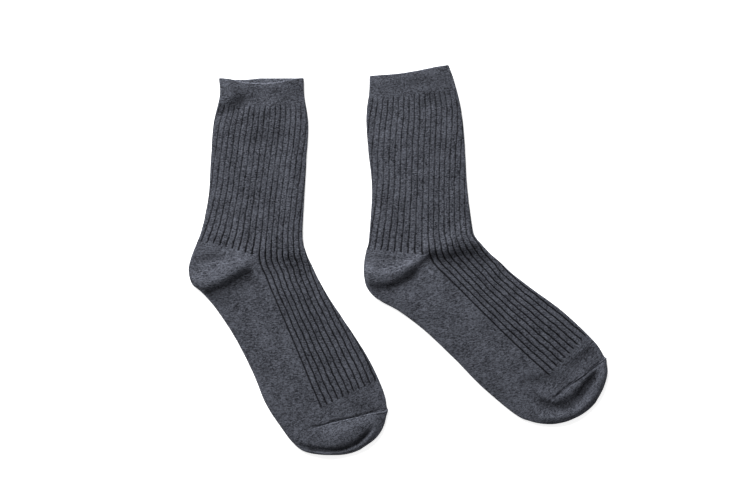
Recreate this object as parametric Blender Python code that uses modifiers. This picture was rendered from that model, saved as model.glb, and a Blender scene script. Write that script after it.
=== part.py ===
"""A pair of ribbed crew socks laid flat on a table, as closed shells of knitted cloth.

Metres, +Z up, +Y towards the cuffs. The origin is on the table, at the middle of the pair's bounding box.
Each sock is a tube pressed flat: an upper and a lower layer that join in a round fold along the back of the
leg, the heel and the sole, and in another along the front of the leg and the instep. It is lofted through
rings, and a ring runs from the back fold to the front fold and round underneath. The tube is divided where
the knitting changes: cuff, leg, heel, instep, sole and toe. Each section is a surface given its thickness
by a Solidify modifier.
"""

import math

import bmesh
import bpy
from mathutils import Vector

MM = 0.001

# Cloth
WALL = 1.3 * MM  # rib and plain knit
CUFF_WALL = 1.8 * MM  # the cuff is turned over on itself
AIR = 0.7 * MM  # left between the two layers
SEAM_GAP = 0.3 * MM  # between neighbouring sections
SEAM_COLLAR = 1.2 * MM  # straight stretch beside a seam, which keeps the two edges parallel
CROWN = 0.8 * MM  # how far the upper layer rises along the middle
CROWN_EDGE = 9.0 * MM  # distance from a fold over which it rises
MOUTH_GAPE = 1.6 * MM  # how far an open mouth lifts the upper layer
MOUTH_DEPTH = 40.0 * MM  # length of leg over which that lift dies out

# Mesh
ROW_LENGTH = 12.0 * MM  # longest step between rings
FOLD_STEPS = 4  # facets round each fold
UPPER_STEPS = 5  # facets across each half of the upper layer
LOWER_STEPS = 1  # facets across each half of the lower layer, which lies flat

# Stations: where sections meet, by place in a sock's list of courses
CUFF_END = 1
HEEL_START = 6
HEEL_END = 10
TOE_START = 15
TOE_END = 19
SEAMS = (CUFF_END, HEEL_START, HEEL_END, TOE_START)

YARN_COLOUR = (0.071, 0.075, 0.089, 1.0)

# Each course is a ring's back point and front point, in millimetres from the middle of the cuff's edge, then
# where the borders between the ribbed front half and the plain back half cross it on the upper and on the
# lower layer, as shares of its width from the back fold. The foot is turned a little in the leg.
# A fold is a soft ridge, or a trough where its height is below zero: start, end, half width, height.
SOCKS = {
    "left": {
        "place": (-123.35, 163.5),
        "mouth": 1.0,
        "courses": [
            ((-38.0, 0.0), (38.5, 0.0), (0.675, 0.345)),
            ((-37.5, -15.5), (39.0, -15.5), (0.67, 0.35)),
            ((-43.0, -40.5), (42.5, -40.5), (0.648, 0.372)),
            ((-45.5, -73.0), (41.0, -73.0), (0.621, 0.399)),
            ((-47.5, -105.5), (39.0, -106.5), (0.595, 0.43)),
            ((-53.5, -135.0), (37.5, -137.0), (0.599, 0.485)),
            ((-58.0, -147.5), (38.5, -149.5), (0.598, 0.502)),
            ((-63.0, -160.5), (40.0, -154.5), (0.6, 0.51)),
            ((-65.5, -172.5), (41.5, -159.0), (0.605, 0.535)),
            ((-62.5, -184.5), (43.5, -163.5), (0.607, 0.556)),
            ((-54.0, -192.0), (46.0, -168.5), (0.589, 0.553)),
            ((-41.5, -206.0), (50.5, -178.0), (0.557, 0.553)),
            ((-24.5, -231.5), (61.0, -197.0), (0.517, 0.56)),
            ((-8.0, -263.5), (77.5, -221.5), (0.473, 0.587)),
            ((4.0, -292.5), (95.0, -249.0), (0.446, 0.612)),
            ((18.0, -314.0), (106.5, -272.0), (0.416, 0.604)),
            ((26.5, -325.5), (112.5, -290.0), (0.405, 0.6)),
            ((37.5, -335.0), (112.0, -308.0), (0.4, 0.6)),
            ((52.5, -338.5), (104.5, -322.5), (0.4, 0.6)),
            ((70.0, -339.0), (89.5, -334.0), (0.4, 0.6)),
        ],
        "folds": [
            ((-54.0, -172.0), (-20.0, -163.0), 9.0, 2.4),
            ((-48.0, -191.0), (-14.0, -172.0), 6.0, -1.2),
            ((62.0, -322.0), (90.0, -313.0), 9.0, 2.2),
            ((46.0, -332.0), (92.0, -323.0), 5.0, -1.3),
        ],
    },
    "right": {
        "place": (10.35, 170.5),
        "mouth": 0.0,
        "courses": [
            ((-36.0, -5.0), (35.5, 5.0), (0.7, 0.32)),
            ((-36.5, -19.5), (41.0, -11.0), (0.697, 0.323)),
            ((-39.0, -40.0), (47.0, -36.5), (0.682, 0.338)),
            ((-37.5, -69.0), (50.0, -67.0), (0.64, 0.405)),
            ((-34.0, -105.0), (52.0, -103.0), (0.6, 0.46)),
            ((-36.5, -150.0), (57.0, -142.0), (0.572, 0.515)),
            ((-39.0, -161.5), (60.5, -150.5), (0.5685, 0.522)),
            ((-41.0, -172.5), (64.0, -154.5), (0.564, 0.53)),
            ((-41.0, -184.5), (67.0, -158.0), (0.567, 0.541)),
            ((-38.0, -195.5), (70.5, -161.5), (0.577, 0.57)),
            ((-28.5, -205.5), (74.5, -165.5), (0.579, 0.58)),
            ((-9.0, -216.5), (82.5, -172.5), (0.5495, 0.58)),
            ((13.5, -233.5), (92.5, -182.0), (0.528, 0.588)),
            ((39.0, -257.5), (112.0, -197.0), (0.506, 0.586)),
            ((64.5, -283.5), (136.0, -214.5), (0.49, 0.586)),
            ((94.5, -308.5), (161.0, -237.5), (0.483, 0.55)),
            ((109.5, -315.5), (172.5, -251.5), (0.475, 0.54)),
            ((125.5, -318.0), (178.5, -268.0), (0.47, 0.54)),
            ((140.0, -316.0), (175.5, -283.5), (0.47, 0.54)),
            ((153.5, -310.5), (167.5, -299.0), (0.47, 0.54)),
        ],
        "folds": [
            ((-32.0, -181.0), (-2.0, -174.0), 9.0, 2.2),
            ((-26.0, -195.5), (8.0, -176.0), 6.0, -1.2),
            ((28.0, -156.0), (50.0, -149.0), 6.0, 2.2),
            ((30.0, -168.0), (56.0, -161.5), 6.0, -1.2),
            ((134.0, -292.0), (156.0, -270.0), 8.0, 1.6),
            ((126.0, -302.0), (161.0, -280.0), 6.0, -1.3),
        ],
    },
}


def clear_scene():
    for obj in list(bpy.data.objects):
        bpy.data.objects.remove(obj, do_unlink=True)


def smooth_step(value):
    value = min(max(value, 0.0), 1.0)
    return value * value * (3.0 - 2.0 * value)


def mix(low, high, share):
    return low + (high - low) * share


def spline(points, at):
    """The place at a station number, which may lie between two stations, on a smooth curve through the points."""
    first = min(int(at), len(points) - 2)
    share = at - first
    start, end = points[first], points[first + 1]
    before = points[first - 1] if first > 0 else start * 2.0 - end
    after = points[first + 2] if first + 2 < len(points) else end * 2.0 - start
    return 0.5 * (
        2.0 * start
        + (end - before) * share
        + (2.0 * before - 5.0 * start + 4.0 * end - after) * share**2
        + (3.0 * start - before - 3.0 * end + after) * share**3
    )


class Sock:
    """One sock's shape: where its rings run, and how high the upper layer lies."""

    def __init__(self, description):
        self.back = [Vector(course[0]) * MM for course in description["courses"]]
        self.front = [Vector(course[1]) * MM for course in description["courses"]]
        self.folds = [
            (Vector(start) * MM, Vector(end) * MM, width * MM, height * MM)
            for start, end, width, height in description["folds"]
        ]
        self.mouth = description["mouth"]
        self.borders = [Vector(course[2]) for course in description["courses"]]

    def ends(self, at, shift):
        """The ring's back and front points, with the ring moved squarely along the sock by shift."""
        back = spline(self.back, at)
        front = spline(self.front, at)
        across = (front - back).normalized()
        onwards = Vector((across.y, -across.x))
        return back + onwards * shift, front + onwards * shift

    def swell(self, place):
        """How far the folds lift the upper layer at a place on the table."""
        total = 0.0
        for start, end, width, height in self.folds:
            along = end - start
            share = min(max((place - start).dot(along) / along.length_squared, 0.0), 1.0)
            distance = (place - start - along * share).length
            total += height * math.exp(-((distance / width) ** 2))
        return total

    def thickness(self, at, wall):
        """From the table to the top of the upper layer. The toe's tip is rounded off like a fold."""
        full = 2.0 * wall + AIR
        left = (TOE_END - at) / (TOE_END - TOE_START)
        tip = 0.12
        if left >= tip:
            return full
        return full * mix(0.45, 1.0, math.sqrt(1.0 - (1.0 - left / tip) ** 2))

    def ring(self, at, wall, shift=0.0, border_shift=0.0):
        """Points round the tube, in five runs that share their end points: back fold, upper sole side, upper
        instep side, front fold, lower instep side, lower sole side."""
        back, front = self.ends(at, shift)
        across = (front - back).normalized()
        width = (front - back).length
        height = self.thickness(at, wall)
        radius = height / 2.0
        upper_border, lower_border = (share * width + border_shift for share in spline(self.borders, at))

        def on_fold(centre, side, turn):
            return (centre - side * radius * math.sin(turn), radius * (1.0 - math.cos(turn)))

        def flat(start, end, steps, level):
            return [(mix(start, end, i / steps), level) for i in range(steps + 1)]

        turns = [math.pi * i / FOLD_STEPS for i in range(FOLD_STEPS + 1)]
        runs = {
            "back_fold": [on_fold(radius, 1.0, turn) for turn in turns],
            "upper_sole": flat(radius, upper_border, UPPER_STEPS, height),
            "upper_instep": flat(upper_border, width - radius, UPPER_STEPS, height),
            "front_fold": [on_fold(width - radius, -1.0, turn) for turn in reversed(turns)],
            "lower_instep": flat(width - radius, lower_border, LOWER_STEPS, 0.0),
            "lower_sole": flat(lower_border, radius, LOWER_STEPS, 0.0),
        }

        def place(distance, level):
            spot = back + across * distance
            if level > radius:
                edge = smooth_step((min(distance, width - distance) - radius) / CROWN_EDGE)
                ends_in = smooth_step((TOE_END - at) / 2.0)
                gape = self.mouth * MOUTH_GAPE * smooth_step(1.0 + spot.y / MOUTH_DEPTH)
                level += edge * ends_in * (CROWN + gape + self.swell(spot))
            return Vector((spot.x, spot.y, level))

        return {name: [place(*point) for point in run] for name, run in runs.items()}


# The runs that each kind of section takes, in order round the tube
WHOLE = ["back_fold", "upper_sole", "upper_instep", "front_fold", "lower_instep", "lower_sole"]
SOLE_SIDE = ["lower_sole", "back_fold", "upper_sole"]
INSTEP_SIDE = ["upper_instep", "front_fold", "lower_instep"]

# Sections: name, first and last station, runs and wall
SECTIONS = [
    ("cuff", 0, CUFF_END, WHOLE, CUFF_WALL),
    ("leg", CUFF_END, HEEL_START, WHOLE, WALL),
    ("heel", HEEL_START, HEEL_END, SOLE_SIDE, WALL),
    ("instep", HEEL_START, TOE_START, INSTEP_SIDE, WALL),
    ("sole", HEEL_END, TOE_START, SOLE_SIDE, WALL),
    ("toe", TOE_START, TOE_END, WHOLE, WALL),
]


def stations(sock, first, end):
    """Station numbers from first to end, at most ROW_LENGTH apart along either fold."""
    found = [float(first)]
    for station in range(first, end):
        reach = max(
            (points[station + 1] - points[station]).length for points in (sock.back, sock.front)
        )
        steps = max(1, math.ceil(reach / ROW_LENGTH))
        if station == TOE_END - 1:
            steps *= 3
        found += [station + (i + 1) / steps for i in range(steps)]
    return found


def ring_places(first, end, station_numbers):
    """Where a section's rings lie: a station, and a shift past it. Each seam has a straight collar beside it."""
    places = []
    for at in station_numbers:
        if at not in SEAMS:
            places.append((at, 0.0))
            continue
        if at > first:
            places.append((at, -SEAM_COLLAR))
        if at == end:
            places.append((at, -SEAM_GAP / 2.0))
        if at == first:
            places.append((at, SEAM_GAP / 2.0))
        if at < end:
            places.append((at, SEAM_COLLAR))
    return places


def section_rings(sock, first, end, runs, wall):
    """One section's rings, stopping half a seam's gap short of its neighbours."""
    border_shift = 0.0
    if runs is SOLE_SIDE:
        border_shift = -SEAM_GAP / 2.0
    if runs is INSTEP_SIDE:
        border_shift = SEAM_GAP / 2.0
    rings = []
    for at, shift in ring_places(first, end, stations(sock, first, end)):
        ring = sock.ring(at, wall, shift, border_shift)
        points = []
        for name in runs:
            points += ring[name] if not points else ring[name][1:]
        if runs is WHOLE:
            points.pop()
        rings.append(points)
    return rings


def loft(name, rings, round_tube, closed):
    """A surface through the rings, facing out. A round tube joins each ring's last point to its first."""
    mesh = bpy.data.meshes.new(name)
    shape = bmesh.new()
    rows = [[shape.verts.new(point) for point in ring] for ring in rings]
    count = len(rows[0])
    for near, far in zip(rows, rows[1:]):
        for i in range(count if round_tube else count - 1):
            j = (i + 1) % count
            shape.faces.new((near[i], far[i], far[j], near[j]))
    if closed:
        shape.faces.new(list(reversed(rows[-1])))
    shape.to_mesh(mesh)
    shape.free()
    mesh.shade_smooth()
    return mesh


def yarn(name):
    material = bpy.data.materials.new(name)
    material.use_nodes = True
    shader = material.node_tree.nodes["Principled BSDF"]
    shader.inputs["Base Color"].default_value = YARN_COLOUR
    shader.inputs["Roughness"].default_value = 0.9
    shader.inputs["Metallic"].default_value = 0.0
    return material


def make_section(sock, name, parent, collection, section):
    _, first, end, runs, wall = section
    rings = section_rings(sock, first, end, runs, wall)
    obj = bpy.data.objects.new(name, loft(name, rings, runs is WHOLE, end == TOE_END))
    obj.data.materials.append(yarn(name))
    obj.parent = parent
    collection.objects.link(obj)
    shell = obj.modifiers.new("Wall", "SOLIDIFY")
    shell.thickness = wall
    shell.offset = -1.0
    shell.use_even_offset = True
    return obj


def make_sock(side, description, collection):
    placed = bpy.data.objects.new(side + "_sock", None)
    placed.location = Vector((*description["place"], 0.0)) * MM
    collection.objects.link(placed)
    sock = Sock(description)
    for section in SECTIONS:
        make_section(sock, f"{side}_{section[0]}", placed, collection, section)


def main():
    clear_scene()
    collection = bpy.data.collections.new("pair_of_socks")
    bpy.context.scene.collection.children.link(collection)
    for side, description in SOCKS.items():
        make_sock(side, description, collection)


main()
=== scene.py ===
"""A pair of ribbed crew socks in heathered grey yarn, laid flat on a white table and seen from above.

Each sock is a knitted tube pressed flat. It is laid out in rings, which run from the back fold (back of the
leg, heel, sole) across the upper layer to the front fold (front of the leg, instep) and home underneath.
Stations number the rings: 0 is the cuff's edge and 19 the tip of the toe. A place round the ring is given
in ribs from the border between the ribbed front half and the plain back half of the foot.
"""

import math

import bpy
import numpy as np
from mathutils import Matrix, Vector


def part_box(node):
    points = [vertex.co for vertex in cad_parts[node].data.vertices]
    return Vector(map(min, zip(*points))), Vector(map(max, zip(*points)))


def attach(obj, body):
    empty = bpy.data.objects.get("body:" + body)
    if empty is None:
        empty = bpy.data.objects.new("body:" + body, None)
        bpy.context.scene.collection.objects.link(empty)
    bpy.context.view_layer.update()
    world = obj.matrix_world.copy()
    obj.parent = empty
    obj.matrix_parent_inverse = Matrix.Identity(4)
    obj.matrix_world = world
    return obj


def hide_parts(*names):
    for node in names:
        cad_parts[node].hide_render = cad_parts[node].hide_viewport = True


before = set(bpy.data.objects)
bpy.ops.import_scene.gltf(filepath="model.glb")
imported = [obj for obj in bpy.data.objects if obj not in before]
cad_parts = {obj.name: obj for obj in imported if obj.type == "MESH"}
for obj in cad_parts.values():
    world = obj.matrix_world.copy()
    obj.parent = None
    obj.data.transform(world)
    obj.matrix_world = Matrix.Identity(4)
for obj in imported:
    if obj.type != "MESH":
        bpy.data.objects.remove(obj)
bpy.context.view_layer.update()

MM = 0.001

# ---- Cloth, in millimetres ----
WALL = 1.3
CUFF_WALL = 1.8
AIR = 0.7  # between the two layers
CROWN = 0.8  # rise of the upper layer towards its middle
CROWN_EDGE = 9.0
MOUTH_GAPE = 1.6
MOUTH_DEPTH = 40.0

# ---- Knitting ----
RIBS = 18  # on each half of the tube
WALES_PER_RIB = 4
COURSE = 0.95  # height of a row of stitches, in millimetres
GROOVE_DEPTH = 0.75
GROOVE_HALF_WIDTH = 0.115  # share of a rib
LEG_GROOVE = (0.4, 0.85)  # the legs' grooves come and go in depth
FOOT_GROOVE = 1.5  # the foot's ribs lie closer together, with deeper grooves
GROOVE_SHADE = 0.75  # painted shade: how much darker the colour is made at the bottom of a groove
SEAM_HALF_WIDTH = 0.7
SEAM_RISE = 0.55
LIP_HIGHLIGHT = 2.6  # painted highlight: the mouth's rounded edge is made paler
LINING_PAINTED_LIGHT = 1.35  # painted light: the turned-in side of the cuff is made paler
SEAM_TONE = 1.4
PRESSED = -0.1  # the table presses the seam flat underneath
TROUGH_SHADE = 0.2  # painted shade in the troughs: how much darker the colour is made for each millimetre that a trough goes down
RIDGE_HIGHLIGHT = 0.06  # painted highlight on the ridges: how much lighter the colour is made for each millimetre that a ridge rises
ROW_STEP = 1.7  # between rings of the mesh, in millimetres
FINE_ROW_STEP = 1.0  # where the folds are sharp

# ---- Stations where the sections meet ----
CUFF_END = 1.0
HEEL_START = 6.0
GORE = 8.0
HEEL_END = 10.0
TOE_START = 15.0
TOE_END = 19.0
SEAM_CORNER = 1.2  # the toe seam's end pushes the front fold out
SEAM_CORNER_AT = 16.52
TOE_TIP = 0.12  # share of the toe's stations over which its tip rounds off

FOLD_END = 7.5  # length over which a fold dies out past its ends
FOLD_EDGE = 2.5  # distance from the back or front fold over which the other folds die out

FRONT, BACK = 1.0, -1.0

# A course is a ring's back point x and y and front point x and y, in millimetres from the middle of the
# cuff's edge, and how far across it the ribbed half's borders lie on the upper and on the lower layer. A fold
# is a run of points, its height, and for its left and its right side the width and the squareness of its
# shoulder.

SOCKS = {
    "left": {
        "courses": [
            (-38.0, 0.0, 38.5, 0.0, 0.675, 0.345),
            (-37.5, -15.5, 39.0, -15.5, 0.67, 0.35),
            (-43.0, -40.5, 42.5, -40.5, 0.648, 0.372),
            (-45.5, -73.0, 41.0, -73.0, 0.621, 0.399),
            (-47.5, -105.5, 39.0, -106.5, 0.595, 0.43),
            (-53.5, -135.0, 37.5, -137.0, 0.599, 0.485),
            (-58.0, -147.5, 38.5, -149.5, 0.598, 0.502),
            (-63.0, -160.5, 40.0, -154.5, 0.6, 0.51),
            (-65.5, -172.5, 41.5, -159.0, 0.605, 0.535),
            (-62.5, -184.5, 43.5, -163.5, 0.607, 0.556),
            (-54.0, -192.0, 46.0, -168.5, 0.589, 0.553),
            (-41.5, -206.0, 50.5, -178.0, 0.557, 0.553),
            (-24.5, -231.5, 61.0, -197.0, 0.517, 0.56),
            (-8.0, -263.5, 77.5, -221.5, 0.473, 0.587),
            (4.0, -292.5, 95.0, -249.0, 0.446, 0.612),
            (18.0, -314.0, 106.5, -272.0, 0.416, 0.604),
            (26.5, -325.5, 112.5, -290.0, 0.405, 0.6),
            (37.5, -335.0, 112.0, -308.0, 0.4, 0.6),
            (52.5, -338.5, 104.5, -322.5, 0.4, 0.6),
            (70.0, -339.0, 89.5, -334.0, 0.4, 0.6),
        ],
        "mouth": 1.0,
        "mouth_sags": [(0.54, 0.43, 5.0, False), (0.25, 0.24, 1.4, True)],
        "tip_bow": 1.1,
        "ribs_start": 1.28,
        "heel_line": (1.5, 2.0),
        "toe_seam": [
            (-1.8, 15.9), (0, 16.0), (1.7, 16.08), (3.5, 16.17),
            (5.2, 16.27), (7, 16.31), (9.9, 16.5),
        ],
        "seed": 11,
        "folds": [
            # heel: the cloth rolls over and drops into the sole
            ([(-62, -191), (-45, -182.5), (-34, -177), (-25, -172), (-17, -168)],
             3.6, (14.0, 2.0), (8.0, 3.0)),
            ([(-54, -198), (-41, -192), (-29.5, -186.5), (-20, -180), (-14, -176)],
             -2.1, (5.0, 2.0), (18.0, 1.5)),
            ([(-54, -163), (-38, -162)], -1.3, (4.5, 2.0), (4.0, 2.0)),
            # ankle: the instep turns away from the leg
            ([(12, -168), (28, -167), (42, -169)], -1.3, (6.0, 2.0), (9.0, 2.0)),
            ([(6, -153), (22, -153), (38, -154)], 1.0, (10.0, 2.0), (7.0, 2.0)),
            # below the cuff
            ([(-35, -28), (-28, -27), (-18, -21)], -2.4, (4.5, 2.0), (5.0, 2.0)),
            ([(-22, -36), (6, -27)], 0.7, (5.0, 2.0), (5.0, 2.0)),
            ([(-8, -54), (12, -55)], -1.3, (8.0, 2.0), (8.0, 2.0)),
            # toe: a roll under the seam, and a crease inside the rim
            ([(66, -323.5), (76, -321.5), (86, -317), (94, -310)], 1.9, (9.0, 2.0), (8.0, 3.5)),
            ([(42, -325), (54, -327), (64, -326)], 0.7, (6.0, 2.0), (5.5, 3.0)),
            ([(38, -332), (46, -334), (59, -334.7), (68, -334), (76, -332.3), (82, -330), (87, -327.5),
              (93, -322)],
             -2.8, (1.9, 1.6), (1.7, 1.8)),
            ([(34, -334.5), (46, -337), (58, -338), (72, -337), (84, -333.5), (93, -328), (99, -320)],
             2.0, (2.4, 2.0), (3.0, 2.0)),
            ([(53, -312.7), (58.5, -311.9), (64.6, -308.7), (73.6, -307.4), (83.6, -305), (91.6, -303),
              (99.6, -300.5)],
             -1.3, (1.3, 2.0), (1.1, 2.0)),
            ([(56, -319.5), (72, -317), (88, -312.5), (99, -308)], 1.0, (4.5, 2.0), (6.5, 2.0)),
            ([(76, -288), (90, -299)], -1.0, (5.0, 2.0), (5.0, 2.0)),
        ],
        "under_folds": [
            ([(-50, -188), (-12, -168)], 0.5, (6.0, 2.0), (4.0, 2.0)),
            ([(40, -326), (70, -328), (96, -316)], 0.5, (5.0, 2.0), (4.0, 2.0)),
            ([(-34, -30), (-6, -34)], 0.4, (7.0, 2.0), (7.0, 2.0)),
        ],
    },
    "right": {
        "courses": [
            (-36.0, -5.0, 35.5, 5.0, 0.7, 0.32),
            (-36.5, -19.5, 41.0, -11.0, 0.697, 0.323),
            (-39.0, -40.0, 47.0, -36.5, 0.682, 0.338),
            (-37.5, -69.0, 50.0, -67.0, 0.64, 0.405),
            (-34.0, -105.0, 52.0, -103.0, 0.6, 0.46),
            (-36.5, -150.0, 57.0, -142.0, 0.572, 0.515),
            (-39.0, -161.5, 60.5, -150.5, 0.5685, 0.522),
            (-41.0, -172.5, 64.0, -154.5, 0.564, 0.53),
            (-41.0, -184.5, 67.0, -158.0, 0.567, 0.541),
            (-38.0, -195.5, 70.5, -161.5, 0.577, 0.57),
            (-28.5, -205.5, 74.5, -165.5, 0.579, 0.58),
            (-9.0, -216.5, 82.5, -172.5, 0.5495, 0.58),
            (13.5, -233.5, 92.5, -182.0, 0.528, 0.588),
            (39.0, -257.5, 112.0, -197.0, 0.506, 0.586),
            (64.5, -283.5, 136.0, -214.5, 0.49, 0.586),
            (94.5, -308.5, 161.0, -237.5, 0.483, 0.55),
            (109.5, -315.5, 172.5, -251.5, 0.475, 0.54),
            (125.5, -318.0, 178.5, -268.0, 0.47, 0.54),
            (140.0, -316.0, 175.5, -283.5, 0.47, 0.54),
            (153.5, -310.5, 167.5, -299.0, 0.47, 0.54),
        ],
        "mouth": 0.0,
        "mouth_sags": [(0.5, 0.5, 0.3, False), (0.42, 0.42, 1.4, True)],
        "tip_bow": 0.9,
        "ribs_start": 1.2,
        "heel_line": (1.55, 1.5),
        "toe_seam": [
            (-1.4, 15.99), (0, 16.03), (1.7, 16.11), (3.4, 16.2),
            (4.9, 16.27), (7, 16.34), (9.9, 16.5),
        ],
        "seed": 29,
        "folds": [
            # heel
            ([(-40, -184), (-28, -186), (-17, -185.5), (-7, -181.5), (1, -176.5)],
             3.0, (12.0, 2.0), (6.5, 3.5)),
            ([(-38, -181), (-24, -182.5), (-12, -180.5), (-2, -176), (7, -170)], 1.2, (4.0, 2.0), (4.0, 2.0)),
            ([(-34, -197), (-20, -195.5), (-8, -190), (2, -183)], -1.4, (3.5, 2.0), (7.0, 1.7)),
            ([(2, -182), (11, -174.5), (16, -170)], -1.0, (2.5, 2.0), (4.0, 2.0)),
            ([(-40, -168), (-4, -169)], -0.4, (2.0, 2.0), (2.5, 2.0)),
            # front of the ankle
            ([(20, -159), (30, -157), (40, -154.5), (50, -152), (62, -147)], 2.8, (11.0, 2.0), (9.5, 3.0)),
            ([(24, -168), (32, -170), (42, -170), (52, -168.5), (66, -167)], -1.9, (6.0, 2.0), (8.0, 1.8)),
            ([(-20, -60), (0, -110)], 0.5, (12.0, 2.0), (12.0, 2.0)),
            ([(16, -29), (27, -26), (37, -20)], -1.3, (5.0, 2.0), (5.0, 2.0)),
            ([(-18, -12), (-2, 0)], 0.8, (9.0, 2.0), (16.0, 2.0)),
            # toe: a roll on either side of a broad crease
            ([(132, -295), (142, -289), (154, -281), (161, -274)], 1.3, (5.0, 2.0), (4.5, 3.0)),
            ([(134, -290.5), (139, -286.5), (145.3, -281.7), (152.6, -277), (158, -273.3), (164, -268),
              (171, -263)],
             -1.7, (1.0, 2.0), (1.1, 2.0)),
            ([(122, -299), (131, -302), (140, -302), (148, -297), (154, -291), (159, -283), (164, -276.5)],
             -2.2, (3.2, 2.0), (5.0, 2.0)),
            ([(122, -312), (132, -312.5), (146, -308.5), (158, -302), (166, -293), (171, -283), (175, -272)],
             1.8, (4.0, 2.0), (4.5, 2.0)),
            ([(149, -263), (160, -255)], -1.3, (5.0, 2.0), (5.0, 2.0)),
            ([(106, -281), (118, -279), (130, -276)], -1.1, (5.0, 2.0), (5.0, 2.0)),
        ],
        "under_folds": [
            ([(-28, -194), (10, -172)], 0.5, (5.0, 2.0), (5.0, 2.0)),
            ([(30, -166), (60, -156)], 0.5, (5.0, 2.0), (5.0, 2.0)),
            ([(128, -302), (160, -278)], 0.1, (4.0, 2.0), (4.0, 2.0)),
        ],
    },
}


# ---------------------------------------------------------------- the shape of a sock


def clamp01(value):
    return np.clip(value, 0.0, 1.0)


def smooth_step(value):
    value = clamp01(value)
    return value * value * (3.0 - 2.0 * value)


def mix(low, high, share):
    return low + (high - low) * share


def spline(points, at):
    """Places at station numbers on a smooth curve through the stations' points."""
    padded = np.vstack([2 * points[0] - points[1], points, 2 * points[-1] - points[-2]])
    first = np.clip(at.astype(int), 0, len(points) - 2)
    share = (at - first)[:, None]
    before, start, end, after = (padded[first + i] for i in range(4))
    return 0.5 * (
        2.0 * start
        + (end - before) * share
        + (2.0 * before - 5.0 * start + 4.0 * end - after) * share**2
        + (3.0 * start - before - 3.0 * end + after) * share**3
    )


def beside(run, xy):
    """How far each place lies beside a run of points, whether on its left, and how far beyond its ends."""
    run = np.asarray(run, float)
    nearest = np.full(xy.shape[:-1], np.inf)
    aside = np.zeros(xy.shape[:-1])
    beyond = np.zeros(xy.shape[:-1])
    left = np.zeros(xy.shape[:-1], bool)
    for i, (start, end) in enumerate(zip(run, run[1:])):
        along = (end - start) / np.linalg.norm(end - start)
        away = xy - start
        reach = away @ along
        length = np.linalg.norm(end - start)
        past = np.maximum(-reach, 0.0) + np.maximum(reach - length, 0.0)
        offset = along[0] * away[..., 1] - along[1] * away[..., 0]
        total = np.hypot(past, offset)
        closed = (reach < 0.0) & (i > 0) | (reach > length) & (i < len(run) - 2)
        nearer = total < nearest
        nearest = np.where(nearer, total, nearest)
        aside = np.where(nearer, np.where(closed, total, np.abs(offset)), aside)
        beyond = np.where(nearer, np.where(closed, 0.0, past), beyond)
        left = np.where(nearer, offset > 0.0, left)
    return aside, left, beyond


def swell(folds, xy):
    """How far a set of folds lifts the cloth at each place, the painted shade of their troughs and the
    painted highlight of their ridges.
    """
    lift = np.zeros(xy.shape[:-1])
    shade = np.zeros(xy.shape[:-1])
    for run, height, (left_width, left_power), (right_width, right_power) in folds:
        aside, left, beyond = beside(run, xy)
        share = np.where(left, (aside / left_width) ** left_power, (aside / right_width) ** right_power)
        share = np.exp(-share - (beyond / FOLD_END) ** 2)
        lift += height * share
        # painted shade in the troughs, painted highlight on the ridges
        shade += -height * (RIDGE_HIGHLIGHT if height > 0.0 else TROUGH_SHADE) * share
    return lift, shade


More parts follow.
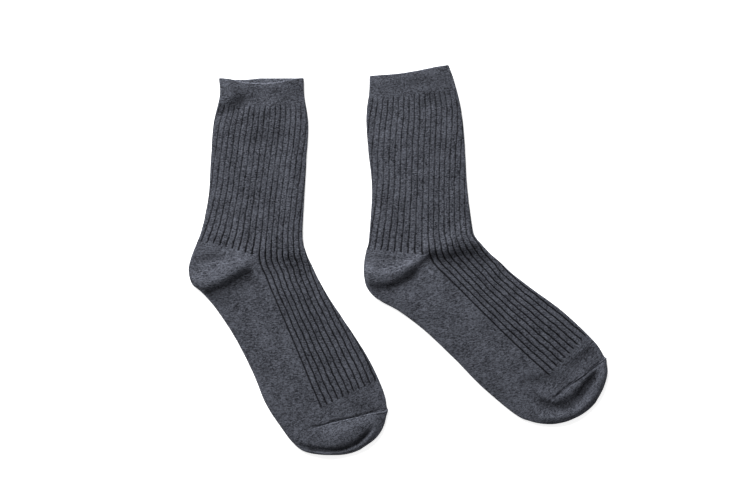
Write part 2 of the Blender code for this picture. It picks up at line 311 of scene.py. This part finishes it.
class Sock:
    def __init__(self, side):
        shape = SOCKS[side]
        self.side = side
        self.shape = shape
        courses = np.array(shape["courses"])
        self.back, self.front, self.borders = courses[:, 0:2], courses[:, 2:4], courses[:, 4:6]
        low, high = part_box(side + "_cuff")
        cuff = np.vstack([self.back[:2], self.front[:2]])
        self.place = np.array([low[0] / MM - cuff[:, 0].min(), high[1] / MM - cuff[:, 1].max()])
        random = np.random.default_rng(shape["seed"])
        self.waves = self.make_waves(random)
        self.knots = random.uniform(0.0, 1.0, (4 * RIBS, 256))
        fine = np.linspace(0.0, TOE_END, 400)
        middle = (spline(self.back, fine) + spline(self.front, fine)) / 2.0
        steps = np.linalg.norm(np.diff(middle, axis=0), axis=1)
        self.milestones = fine, np.concatenate([[0.0], np.cumsum(steps)])

    def make_waves(self, random):
        """Long shallow waves, which keep the cloth from lying dead flat: direction, phase, height."""
        waves = []
        for length in (58.0, 41.0, 29.0, 21.0, 15.0, 11.0):
            turn = random.uniform(0.0, math.tau)
            vector = np.array([math.cos(turn), math.sin(turn)]) * math.tau / length
            waves.append((vector, random.uniform(0.0, math.tau), length * 0.0045))
        return waves

    def wave(self, xy):
        total = np.zeros(xy.shape[:-1])
        for vector, phase, height in self.waves:
            total += height * np.sin(xy @ vector + phase)
        return total

    def travelled(self, at):
        """Length of sock from the cuff's edge to a station."""
        return np.interp(at, *self.milestones)

    def uneven(self, at, side, ribs, length):
        """A value from 0 to 1 that wanders along each groove, at about the given length."""
        groove = np.round(ribs).astype(int) + np.where(side == FRONT, 0, 2 * RIBS)
        place = self.travelled(at) / length + 3.7 * (groove % 7)
        first = place.astype(int) % 255
        share = smooth_step(place - place.astype(int))
        return mix(self.knots[groove, first], self.knots[groove, first + 1], share)

    def wall(self, at):
        return mix(CUFF_WALL, WALL, smooth_step((at - 0.3) / 0.7))

    def thickness(self, at):
        left = (TOE_END - at) / (TOE_END - TOE_START)
        round_off = np.sqrt(1.0 - (1.0 - clamp01(left / TOE_TIP)) ** 2)
        return (2.0 * self.wall(at) + AIR) * mix(0.1, 1.0, round_off)

    def groove(self, at, side, ribs, toward_back):
        """How deep a groove is at each place, as a share of the whole depth."""
        depth = np.exp(-(np.abs((ribs - np.round(ribs)) / GROOVE_HALF_WIDTH) ** 3.5))
        starts = smooth_step((at - self.shape["ribs_start"]) / 0.2)
        ends = smooth_step((TOE_START - at) / 0.035)
        drop, power = self.shape["heel_line"]
        heel_line = HEEL_START + drop * clamp01(toward_back) ** power
        at_border = (np.round(ribs) < 0.5) | (np.round(ribs) > RIBS - 0.5)
        kept = np.where((side == BACK) & ~at_border, smooth_step((heel_line - at) / 0.12), 1.0)
        foot = smooth_step((at - 4.0) / 4.0)
        strength = mix(*LEG_GROOVE, self.uneven(at, side, ribs, 5.0))
        return depth * starts * ends * kept * mix(strength, FOOT_GROOVE, foot)

    def wander(self, at, ribs):
        """The ribs aren't quite straight: a sideways shift, in ribs, that dies out at the borders."""
        length = self.travelled(at)
        ribs_in = np.minimum(ribs, RIBS - ribs)
        sway = 0.035 * np.sin(length / 4.9 + 0.5 * ribs) + 0.025 * np.sin(length / 1.7 - 2.3 * ribs)
        return sway * smooth_step(ribs_in / 1.5)

    def lay(self, at, side, ribs, inner=False):
        """Points at each station (down) and place round the ring (across), and the tone there: painted shade
        in the grooves and troughs, and a painted highlight on the ridges.
        """
        at = at[:, None]
        back = spline(self.back, at[:, 0])
        front = spline(self.front, at[:, 0])
        borders = spline(self.borders, at[:, 0])
        span = front - back
        width = np.linalg.norm(span, axis=1)[:, None]
        across = (span / width)[:, None, :]
        width = width + SEAM_CORNER * np.exp(-(((at - SEAM_CORNER_AT) / 0.16) ** 2))
        height = self.thickness(at)
        radius = height / 2.0
        wall = self.wall(at)
        facing_front = side == FRONT
        upper = borders[:, :1] * width
        lower = borders[:, 1:] * width
        reach_up = np.where(facing_front, width - radius - upper, upper - radius)
        reach_low = np.where(facing_front, width - radius - lower, lower - radius)
        run = (ribs + self.wander(at, ribs)) / RIBS * (reach_up + math.pi * radius + reach_low)
        turn = np.clip((run - reach_up) / radius, 0.0, math.pi)
        beyond = np.maximum(run - reach_up - math.pi * radius, 0.0)
        outward = np.minimum(run, reach_up) + radius * np.sin(turn) - beyond
        distance = upper + side * outward
        level = radius + radius * np.cos(turn)
        normal_across = side * np.sin(turn)
        normal_up = np.cos(turn)
        xy = back[:, None, :] + across * distance[..., None]

        is_upper = turn < 1.5
        from_edge = np.minimum(distance, width - distance) - radius
        fade = smooth_step((TOE_END - at) / 1.2)
        gape = self.shape["mouth"] * MOUTH_GAPE * smooth_step(1.0 + xy[..., 1] / MOUTH_DEPTH)
        folds, shade = swell(self.shape["folds"], xy)
        near_fold = smooth_step(from_edge / FOLD_EDGE)
        lift = smooth_step(from_edge / CROWN_EDGE) * (CROWN + gape + self.wave(xy)) + near_fold * folds
        level = level + is_upper * fade * np.maximum(lift, 0.15 - AIR)
        under = (turn > 2.0) * smooth_step(beyond / 6.0)
        level = level + under * fade * swell(self.shape["under_folds"], xy)[0]

        toward_back = np.where(is_upper, distance / upper, distance / lower)
        groove = self.groove(at, side, ribs, toward_back)
        inset = np.minimum(wall, radius * 0.7) if inner else groove * GROOVE_DEPTH
        xy = xy - across * (normal_across * inset)[..., None]
        level = level - normal_up * inset
        xy = xy + self.sag(at, distance / width, is_upper)[..., None] * self.down(across)
        points = np.concatenate([xy + self.place, level[..., None]], axis=-1)
        # Painted shade and highlight: darker in the grooves and the troughs, lighter on the ridges.
        tone = (1.0 - GROOVE_SHADE) ** groove * (1.0 - is_upper * near_fold * shade)
        return points, tone

    def down(self, across):
        return np.stack([across[..., 1], -across[..., 0]], axis=-1)

    def sag(self, at, share, is_upper):
        """How far the rings bow towards the toe, at the mouth, where one layer bows more, and at the tip."""
        total = np.zeros(share.shape)
        for middle, half, depth, both_layers in self.shape["mouth_sags"]:
            bow = clamp01(1.0 - ((share - middle) / half) ** 2) ** 1.5 * depth
            total += bow * (is_upper | both_layers) * np.exp(-at / 0.6)
        tip = smooth_step((at - 16.5) / 2.5) * self.shape["tip_bow"]
        return total + tip * (1.0 - (2.0 * share - 1.0) ** 2)

    def rows(self, first, end, step=ROW_STEP):
        """Station numbers from first to end, evenly spread along the longer of the two folds."""
        fine = np.linspace(first, end, 600)
        edges = [spline(points, fine) for points in (self.back, self.front)]
        moved = [np.linalg.norm(np.diff(edge, axis=0), axis=1) for edge in edges]
        travelled = np.concatenate([[0.0], np.cumsum(np.maximum(*moved))])
        count = max(2, math.ceil(travelled[-1] / step))
        return np.interp(np.linspace(0.0, travelled[-1], count + 1), travelled, fine)


# ---------------------------------------------------------------- places round the ring


def ribbed_places():
    """Places on one half of the ring, close together in the grooves."""
    steps = np.array([0.0, 0.055, 0.11, 0.18, 0.34, 0.5, 0.66, 0.82, 0.89, 0.945])
    return np.concatenate([(np.arange(RIBS)[:, None] + steps).ravel(), [RIBS]])


def plain_places(count=72):
    """Places on one half of the ring, close together only in the groove at either border."""
    edge = np.array([0.0, 0.055, 0.11, 0.18])
    middle = np.linspace(0.3, RIBS - 0.3, count)
    return np.concatenate([edge, middle, (RIBS - edge)[::-1]])


def half_ring(side, places):
    """A half of the ring in its order: over the top towards the front fold, and home underneath."""
    places = places if side == FRONT else places[::-1]
    return np.full(len(places), side), places


def whole_ring(front_places, back_places):
    front = half_ring(FRONT, front_places)
    back = half_ring(BACK, back_places)
    return np.concatenate([front[0], back[0][1:-1]]), np.concatenate([front[1], back[1][1:-1]])


# ---------------------------------------------------------------- meshes


class Shell:
    """Collects the faces of one piece, with stitch coordinates and a tone at each point, which carries
    painted shade and highlights.
    """

    def __init__(self):
        self.points = []
        self.faces = []
        self.stitches = []
        self.tones = []
        self.count = 0

    def add(self, points, tones):
        rows, columns = points.shape[:2]
        first = self.count
        self.points.append(points.reshape(-1, 3) * MM)
        self.tones.append(np.broadcast_to(tones, (rows, columns)).ravel())
        self.count += rows * columns
        return first + np.arange(rows * columns).reshape(rows, columns)

    def skin(self, grid, wales, courses, closed, flip=False):
        """Faces over a grid of points. Wales and courses are the stitch coordinates at each grid point."""
        rows, columns = grid.shape
        last = columns if closed else columns - 1
        for i in range(rows - 1):
            for j in range(last):
                k = (j + 1) % columns
                face = [grid[i, j], grid[i + 1, j], grid[i + 1, k], grid[i, k]]
                ahead = wales[j + 1] if j + 1 < len(wales) else wales[j]
                tops = courses[i, j], courses[i + 1, j], courses[i + 1, k], courses[i, k]
                corners = list(zip((wales[j], wales[j], ahead, ahead), tops))
                if flip:
                    face.reverse()
                    corners.reverse()
                self.faces.append(face)
                self.stitches += corners

    def join(self, one, other, closed):
        """A strip between two lines of points, such as the rim of the cloth."""
        count = len(one)
        for i in range(count if closed else count - 1):
            j = (i + 1) % count
            self.faces.append([one[i], one[j], other[j], other[i]])
            self.stitches += [(i, 0), (i + 1, 0), (i + 1, 1), (i, 1)]

    def cap(self, loop):
        self.faces.append([int(i) for i in loop])
        self.stitches += [(0, 0)] * len(loop)

    def build(self, name):
        mesh = bpy.data.meshes.new(name)
        mesh.from_pydata(np.vstack(self.points).tolist(), [], [[int(i) for i in face] for face in self.faces])
        stitch_map = mesh.uv_layers.new(name="stitches")
        stitch_map.data.foreach_set("uv", np.array(self.stitches, float).ravel())
        tone = mesh.attributes.new("tone", "FLOAT", "POINT")
        tone.data.foreach_set("value", np.concatenate(self.tones).astype(float))
        mesh.validate()
        mesh.shade_smooth()
        mesh.set_sharp_from_angle(angle=math.radians(55))
        piece = bpy.data.objects.new(name, mesh)
        bpy.context.scene.collection.objects.link(piece)
        return piece


def lengths_down(points):
    """Distance travelled down each column of a grid."""
    steps = np.linalg.norm(np.diff(points, axis=0), axis=2)
    return np.vstack([np.zeros(points.shape[1]), np.cumsum(steps, axis=0)])


def make_section(
    sock, part, rows, ring, closed_tube, inner_rows=None, end_cap=False, lip=False, from_end=None
):
    """One section of a sock: its outer face, its inner face and the rims between them."""
    side, ribs = ring
    shell = Shell()
    outer, tones = sock.lay(rows, side, ribs)
    inner, _ = sock.lay(rows if inner_rows is None else inner_rows, side, ribs, inner=True)
    outside = shell.add(outer, tones)
    # painted light: the cuff's inner face is made paler
    inside = shell.add(inner, LINING_PAINTED_LIGHT if lip else 1.0)
    wales = np.where(side == FRONT, ribs, 2 * RIBS - ribs) * WALES_PER_RIB
    if closed_tube:
        wales = np.concatenate([wales, [2 * RIBS * WALES_PER_RIB]])
    down = lengths_down(outer)
    if from_end is not None:
        turn_row = int(np.searchsorted(rows, from_end))
        down[turn_row:] -= down[-1]
    shell.skin(outside, wales, down / COURSE, closed_tube)
    shell.skin(inside, wales, lengths_down(inner) / COURSE, closed_tube, flip=True)
    add_rims(shell, outside, inside, outer, inner, closed_tube, end_cap, lip)
    return shell.build(f"{sock.side}_{part}")


def add_rims(shell, outside, inside, outer, inner, closed_tube, end_cap, lip):
    """Closes the cloth's wall at its ends and, on a half tube, along its borders."""
    near, far = outside[0], inside[0]
    if lip:
        for loop in mouth_lip(shell, outer, inner):
            shell.join(near, loop, closed_tube)
            near = loop
    shell.join(near, far, closed_tube)
    if end_cap:
        shell.cap(outside[-1][::-1])
        shell.cap(inside[-1])
    else:
        shell.join(inside[-1], outside[-1], closed_tube)
    if not closed_tube:
        shell.join(inside[:, 0], outside[:, 0], False)
        shell.join(outside[:, -1], inside[:, -1], False)


def mouth_lip(shell, outer, inner, steps=5):
    """The cuff is turned over at the mouth, so its edge is round."""
    wall = inner[0] - outer[0]
    up = outer[0] - outer[1]
    up /= np.linalg.norm(up, axis=1)[:, None]
    size = np.linalg.norm(wall, axis=1)[:, None]
    loops = []
    for i in range(1, steps):
        turn = math.pi * i / steps
        loop = outer[0] + wall * (1.0 - math.cos(turn)) / 2.0 + up * size * math.sin(turn) * 0.5
        # painted highlight on the mouth's rounded edge
        loops.append(shell.add(loop[None], LIP_HIGHLIGHT)[0])
    return loops


def make_toe_seam(sock):
    """The linked seam: a fine raised cord of stitches, from the sole over the toes, round the front fold and
    as far along the underside."""
    line = np.array(sock.shape["toe_seam"])
    line = np.vstack([line, np.column_stack([2.0 * line[-1, 0] - line[-2::-1, 0], line[-2::-1, 1]])])
    places = np.linspace(line[0, 0], line[-1, 0], 300)
    stations = np.interp(places, line[:, 0], line[:, 1])
    shell = Shell()
    turns = np.linspace(0.0, math.tau, 9)[:-1]
    grid = np.zeros((len(turns), len(places), 3))
    middle = np.array([seam_point(sock, at, place) for at, place in zip(stations, places)])
    along = np.gradient(middle, axis=0)
    along /= np.linalg.norm(along, axis=1)[:, None]
    onward = np.array([seam_point(sock, at + 0.03, place) for at, place in zip(stations, places)]) - middle
    up = np.cross(onward, along)
    up /= np.linalg.norm(up, axis=1)[:, None]
    aside = np.cross(along, up)
    for i, turn in enumerate(turns):
        bead = 1.0 + 0.2 * np.sin(places * WALES_PER_RIB * math.pi)
        from_end = np.minimum(places - places[0], places[-1] - places)
        taper = (bead * np.minimum(1.0, 0.25 + from_end / 1.2))[:, None]
        off = aside * math.cos(turn) * SEAM_HALF_WIDTH + up * math.sin(turn) * SEAM_RISE
        grid[i] = middle + off * taper
    grid[..., 2] = np.maximum(grid[..., 2], PRESSED)
    indices = shell.add(grid, SEAM_TONE)
    closed = np.vstack([indices, indices[:1]])
    courses = np.tile(np.arange(len(closed))[:, None] / 4.0, (1, len(places)))
    shell.skin(closed, places * WALES_PER_RIB, courses, False)
    shell.cap(indices[::-1, 0])
    shell.cap(indices[:, -1])
    return shell.build(f"{sock.side}_toe_seam")


def seam_point(sock, at, place):
    """A point on the toe. Its place in ribs may lie past either border, on the plain half."""
    if 0.0 <= place <= RIBS:
        side, ribs = FRONT, place
    else:
        side, ribs = BACK, -place if place < 0.0 else 2 * RIBS - place
    points, _ = sock.lay(np.array([at]), np.array([side]), np.array([ribs]))
    return points[0, 0]


def make_sock(side):
    sock = Sock(side)
    ribbed, plain = ribbed_places(), plain_places()
    heel_rows = sock.rows(HEEL_START, HEEL_END, FINE_ROW_STEP)
    foot_rows = sock.rows(HEEL_END, TOE_START)
    instep_rows = np.concatenate([heel_rows, foot_rows[1:]])
    leg_rows = sock.rows(CUFF_END, HEEL_START)
    toe_rows = np.concatenate([sock.rows(TOE_START, 18.5, FINE_ROW_STEP)[:-1], sock.rows(18.5, TOE_END, 0.6)])
    cuff_rows = sock.rows(0.0, CUFF_END, 1.2)
    pieces = {
        "cuff": make_section(sock, "cuff", cuff_rows, whole_ring(ribbed, ribbed), True, lip=True),
        "leg": make_section(sock, "leg", leg_rows, whole_ring(ribbed, ribbed), True),
        "heel": make_section(sock, "heel", heel_rows, half_ring(BACK, ribbed), False, from_end=GORE),
        "instep": make_section(sock, "instep", instep_rows, half_ring(FRONT, ribbed), False),
        "sole": make_section(sock, "sole", foot_rows, half_ring(BACK, plain), False),
        "toe": make_section(
            sock,
            "toe",
            toe_rows,
            whole_ring(plain, plain),
            True,
            inner_rows=np.linspace(TOE_START, 18.3, 24),
            end_cap=True,
        ),
    }
    pieces["toe_seam"] = make_toe_seam(sock)
    return pieces


# ---------------------------------------------------------------- materials


def put(tree, kind, links=None, **settings):
    """Adds a node. links maps input names or numbers to a value or to another node's output."""
    node = tree.nodes.new(kind)
    for name, value in settings.items():
        setattr(node, name, value)
    for key, value in (links or {}).items():
        if isinstance(value, bpy.types.NodeSocket):
            tree.links.new(value, node.inputs[key])
        else:
            node.inputs[key].default_value = value
    return node


def calc(tree, operation, first, second=0.0, third=0.0):
    node = put(tree, "ShaderNodeMath", {0: first, 1: second, 2: third}, operation=operation)
    return node.outputs[0]


def new_group(name, inputs, outputs):
    tree = bpy.data.node_groups.new(name, "ShaderNodeTree")
    for label, kind, default in inputs:
        socket = tree.interface.new_socket(label, in_out="INPUT", socket_type=kind)
        if default is not None:
            socket.default_value = default
    for label, kind in outputs:
        tree.interface.new_socket(label, in_out="OUTPUT", socket_type=kind)
    return tree, tree.nodes.new("NodeGroupInput"), tree.nodes.new("NodeGroupOutput")


def make_stitch_group():
    """Plain knit: columns of V-shaped stitches, one wale wide and one course high."""
    tree, start, end = new_group(
        "knit_stitches",
        [("Stitches", "NodeSocketVector", None), ("Slant", "NodeSocketFloat", 0.55)],
        [("Height", "NodeSocketFloat"), ("Stitch Tone", "NodeSocketFloat")],
    )
    split = put(tree, "ShaderNodeSeparateXYZ", {0: start.outputs["Stitches"]})
    wale, course = split.outputs[0], split.outputs[1]
    aside = calc(tree, "ABSOLUTE", calc(tree, "SUBTRACT", calc(tree, "FRACT", wale), 0.5))
    from_middle = calc(tree, "MULTIPLY", calc(tree, "SUBTRACT", aside, 0.25), 4.0)
    leg = calc(tree, "SUBTRACT", 1.0, calc(tree, "POWER", from_middle, 2.0))
    slanted = calc(tree, "MULTIPLY_ADD", aside, start.outputs["Slant"], course)
    wave = calc(tree, "COSINE", calc(tree, "MULTIPLY", slanted, math.tau))
    loop = calc(tree, "MULTIPLY_ADD", wave, 0.3, 0.7)
    height = calc(tree, "MULTIPLY", calc(tree, "MAXIMUM", leg, 0.0), loop)
    cell = put(tree, "ShaderNodeCombineXYZ", {0: calc(tree, "FLOOR", wale), 1: calc(tree, "FLOOR", slanted)})
    tone = put(tree, "ShaderNodeTexWhiteNoise", {"Vector": cell.outputs[0]}, noise_dimensions="2D")
    tree.links.new(height, end.inputs["Height"])
    tree.links.new(tone.outputs["Value"], end.inputs["Stitch Tone"])
    return tree


def noise(tree, vector, scale, detail=2.0, roughness=0.5):
    node = put(
        tree,
        "ShaderNodeTexNoise",
        {"Vector": vector, "Scale": scale, "Detail": detail, "Roughness": roughness},
    )
    return node.outputs["Fac"]


def make_yarn_group():
    """Heathered yarn: dark and light fibres spun together, so the tone changes from stitch to stitch."""
    tree, start, end = new_group(
        "heathered_yarn",
        [
            ("Stitches", "NodeSocketVector", None),
            ("Place", "NodeSocketVector", None),
            ("Stitch Tone", "NodeSocketFloat", 0.5),
            ("Dark", "NodeSocketColor", (0.013, 0.0135, 0.0168, 1.0)),
            ("Light", "NodeSocketColor", (0.143, 0.152, 0.184, 1.0)),
        ],
        [("Color", "NodeSocketColor"), ("Fibres", "NodeSocketFloat")],
    )
    stretch = put(tree, "ShaderNodeMapping", {"Vector": start.outputs["Stitches"], "Scale": (0.42, 0.9, 1.0)})
    streaks = noise(tree, stretch.outputs[0], 1.0, 3.0, 0.65)
    flecks = noise(tree, start.outputs["Place"], 900.0, 2.0, 0.6)
    patches = noise(tree, start.outputs["Place"], 85.0, 3.0, 0.6)
    fibres = noise(tree, start.outputs["Place"], 4200.0, 2.0, 0.6)
    total = calc(tree, "MULTIPLY_ADD", start.outputs["Stitch Tone"], 0.4, -0.2)
    for value, weight in ((streaks, 1.6), (flecks, 1.2), (patches, 0.6), (fibres, 0.5)):
        centred = calc(tree, "SUBTRACT", value, 0.5)
        total = calc(tree, "MULTIPLY_ADD", centred, weight, total)
    share = calc(tree, "ADD", total, 0.42)
    share = put(tree, "ShaderNodeClamp", {0: share}).outputs[0]
    colour = put(
        tree,
        "ShaderNodeMix",
        {"Factor": share, "A": start.outputs["Dark"], "B": start.outputs["Light"]},
        data_type="RGBA",
    )
    tree.links.new(colour.outputs["Result"], end.inputs["Color"])
    tree.links.new(fibres, end.inputs["Fibres"])
    return tree


def knit(name, stitch_group, yarn_group, stitch_height):
    """A knitted finish: heathered yarn darkened and lightened by the painted shade and highlights of the tone
    attribute and by painted shade between the stitches, stitches and fibres in the bump, soft sheen.
    """
    material = bpy.data.materials.new(name)
    material.use_nodes = True
    tree = material.node_tree
    shader = tree.nodes["Principled BSDF"]
    uv = put(tree, "ShaderNodeUVMap", uv_map="stitches").outputs[0]
    place = put(tree, "ShaderNodeTexCoord").outputs["Object"]
    stitches = put(tree, "ShaderNodeGroup", node_tree=stitch_group)
    tree.links.new(uv, stitches.inputs["Stitches"])
    yarn = put(tree, "ShaderNodeGroup", node_tree=yarn_group)
    tree.links.new(uv, yarn.inputs["Stitches"])
    tree.links.new(place, yarn.inputs["Place"])
    tree.links.new(stitches.outputs["Stitch Tone"], yarn.inputs["Stitch Tone"])
    # the tone attribute carries the painted shade and highlights, and the painted light on the cuff's lining
    tone = put(tree, "ShaderNodeAttribute", attribute_name="tone").outputs["Fac"]
    # Painted shade between the stitches: the colour is darker where the stitch relief is low.
    between = calc(tree, "MULTIPLY_ADD", stitches.outputs["Height"], 0.3, 0.79)
    shade = calc(tree, "MULTIPLY", tone, between)
    tint = put(tree, "ShaderNodeVectorMath", operation="SCALE")
    tree.links.new(yarn.outputs["Color"], tint.inputs[0])
    tree.links.new(shade, tint.inputs["Scale"])
    tree.links.new(tint.outputs[0], shader.inputs["Base Color"])
    relief = calc(tree, "MULTIPLY_ADD", yarn.outputs["Fibres"], 0.35, stitches.outputs["Height"])
    bump = put(tree, "ShaderNodeBump", {"Height": relief, "Distance": stitch_height, "Strength": 1.0})
    tree.links.new(bump.outputs[0], shader.inputs["Normal"])
    rough = calc(tree, "MULTIPLY_ADD", yarn.outputs["Fibres"], 0.12, 0.86)
    tree.links.new(rough, shader.inputs["Roughness"])
    shader.inputs["Specular IOR Level"].default_value = 0.06
    shader.inputs["Sheen Weight"].default_value = 0.05
    shader.inputs["Sheen Roughness"].default_value = 0.45
    shader.inputs["Sheen Tint"].default_value = (0.75, 0.8, 0.95, 1.0)
    return material


def make_materials():
    stitch_group = make_stitch_group()
    yarn_group = make_yarn_group()
    return {
        "cuff_knit": knit("cuff_knit", stitch_group, yarn_group, 0.00028),
        "ribbed_knit": knit("ribbed_knit", stitch_group, yarn_group, 0.0003),
        "plain_knit": knit("plain_knit", stitch_group, yarn_group, 0.0003),
    }


# ---------------------------------------------------------------- room


TABLE_WIDTH = 12.0  # in metres
TABLE_TOP = -0.0002  # just clear of the seams underneath


def make_floor():
    """A wide white table, which glows a little so that it has no dark shadows."""
    mesh = bpy.data.meshes.new("table")
    half = TABLE_WIDTH / 2.0
    corners = [(-half, -half, 0), (half, -half, 0), (half, half, 0), (-half, half, 0)]
    mesh.from_pydata(corners, [], [(0, 1, 2, 3)])
    floor = bpy.data.objects.new("table", mesh)
    floor.location.z = TABLE_TOP
    bpy.context.scene.collection.objects.link(floor)
    material = bpy.data.materials.new("table_white")
    material.use_nodes = True
    tree = material.node_tree
    shader = tree.nodes["Principled BSDF"]
    mottle = noise(tree, put(tree, "ShaderNodeTexCoord").outputs["Object"], 3.0)
    tone = put(tree, "ShaderNodeMapRange", {"Value": mottle, "To Min": 0.9, "To Max": 0.93}).outputs[0]
    tree.links.new(tone, shader.inputs["Base Color"])
    shader.inputs["Roughness"].default_value = 0.85
    shader.inputs["Emission Color"].default_value = (1.0, 1.0, 1.0, 1.0)
    shader.inputs["Emission Strength"].default_value = 0.68
    floor.data.materials.append(material)
    return floor


def area_light(name, place, target, size, power):
    data = bpy.data.lights.new(name, "AREA")
    data.shape = "SQUARE"
    data.size = size
    data.energy = power
    light = bpy.data.objects.new(name, data)
    light.location = place
    light.rotation_euler = (Vector(target) - Vector(place)).to_track_quat("-Z", "Y").to_euler()
    bpy.context.scene.collection.objects.link(light)


def light_room():
    world = bpy.data.worlds.new("room")
    world.use_nodes = True
    world.node_tree.nodes["Background"].inputs["Color"].default_value = (1.0, 1.0, 1.0, 1.0)
    world.node_tree.nodes["Background"].inputs["Strength"].default_value = 0.3
    bpy.context.scene.world = world
    area_light("window", (-0.95, 1.75, 1.05), (0.0, 0.0, 0.0), 1.1, 120.0)


def place_camera():
    """Straight above, far enough for little perspective."""
    data = bpy.data.cameras.new("camera")
    data.sensor_width = 36.0
    data.lens = 85.0
    view_width = 0.675
    camera = bpy.data.objects.new("camera", data)
    camera.location = (-0.0208, 0.0095, view_width * data.lens / data.sensor_width + 0.003)
    bpy.context.scene.collection.objects.link(camera)
    bpy.context.scene.camera = camera


# ---------------------------------------------------------------- assembly

SLOTS = {
    "cuff": "cuff_knit",
    "leg": "ribbed_knit",
    "heel": "plain_knit",
    "instep": "ribbed_knit",
    "sole": "plain_knit",
    "toe": "plain_knit",
    "toe_seam": "plain_knit",
}

# The cut of each section, all round: its width round the sock and its length along it, in metres, and its
# area in square metres, since it isn't a rectangle.
CUTS = {
    "cuff": ((0.155, 0.016), 0.00235),
    "leg": ((0.197, 0.14), 0.0239),
    "heel": ((0.128, 0.05), 0.0047),
    "instep": ((0.098, 0.165), 0.0132),
    "sole": ((0.123, 0.152), 0.0145),
    "toe": ((0.195, 0.071), 0.0074),
}


def main():
    place_camera()
    materials = make_materials()
    floor = make_floor()
    for side in SOCKS:
        pieces = make_sock(side)
        for part, piece in pieces.items():
            piece.data.materials.append(materials[SLOTS[part]])
            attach(piece, "root")
        for part, (flat, area) in CUTS.items():
            piece = pieces[part]
            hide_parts(f"{side}_{part}")
    light_room()
    bpy.context.scene.view_settings.view_transform = "Standard"
    bpy.context.scene.view_settings.look = "None"


main()
